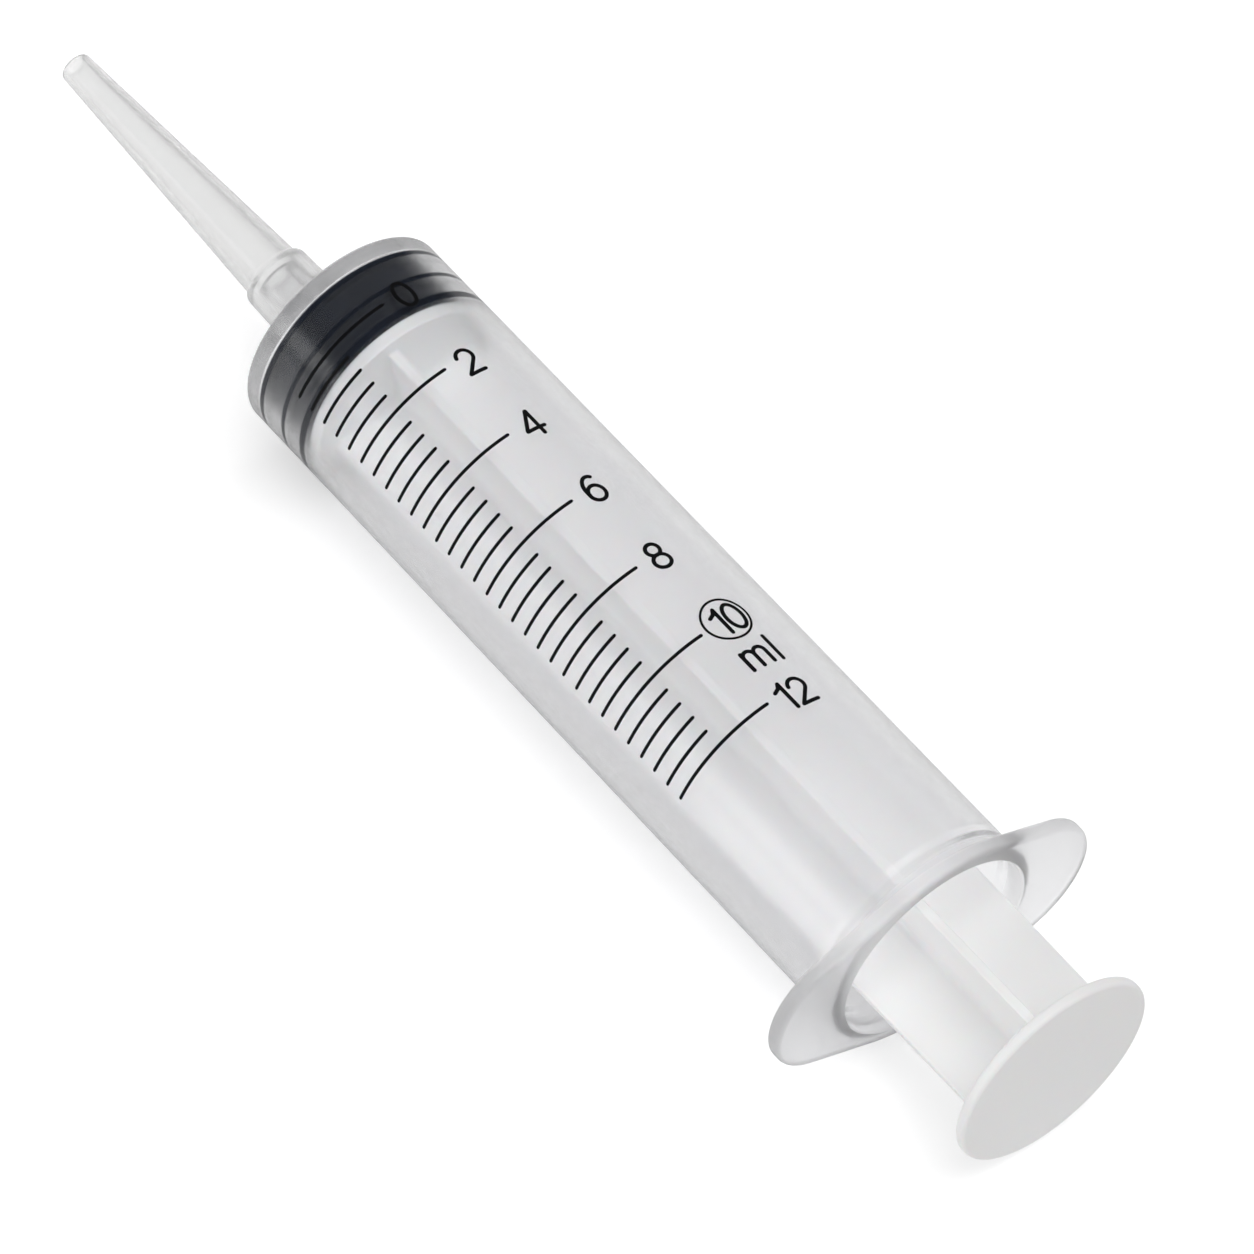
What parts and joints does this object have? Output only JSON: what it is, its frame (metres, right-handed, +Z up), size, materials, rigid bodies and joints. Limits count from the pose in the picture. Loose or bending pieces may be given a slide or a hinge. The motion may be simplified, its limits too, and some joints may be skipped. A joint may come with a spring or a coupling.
{
  "type": "dispensing syringe",
  "caption": "Plastic dispensing syringe: clear graduated barrel with finger flange, rubber stopper, cross-vane plunger and a long tapered push-on tip.",
  "frame": {"origin": "on the floor, under the middle of the overall length, with the plunger pushed fully in", "axes": "+X along the barrel towards the tip's outlet, +Y towards one wing of the flange, +Z up; the barrel's axis lies 10 mm above the floor"},
  "size_m": [0.1262, 0.0314, 0.02],
  "materials": {
    "clear_plastic": "clear moulded",
    "ink": "printed",
    "frosted_plastic": "satin moulded",
    "stopper_rubber": "moulded, silicone-wet",
    "white_plastic": "satin moulded"
  },
  "bodies": {
    "barrel": {"barrel": "clear_plastic", "graduations": "ink"},
    "tip": {"tip": "frosted_plastic"},
    "piston": {"piston": "stopper_rubber"},
    "plunger": {"plunger": "white_plastic"}
  },
  "joints": [
    {"name": "plunger_slide", "type": "slide", "parent": "barrel", "child": "piston", "axis": [-1, 0, 0], "range_m": [0, 0.063]},
    {"name": "plunger_twist", "type": "hinge", "parent": "piston", "child": "plunger", "pos_m": [0, 0, 0.01], "axis": [1, 0, 0], "continuous": true},
    {"name": "tip_pull", "type": "slide", "parent": "barrel", "child": "tip", "axis": [1, 0, 0], "range_m": [0, 0.012]}
  ]
}
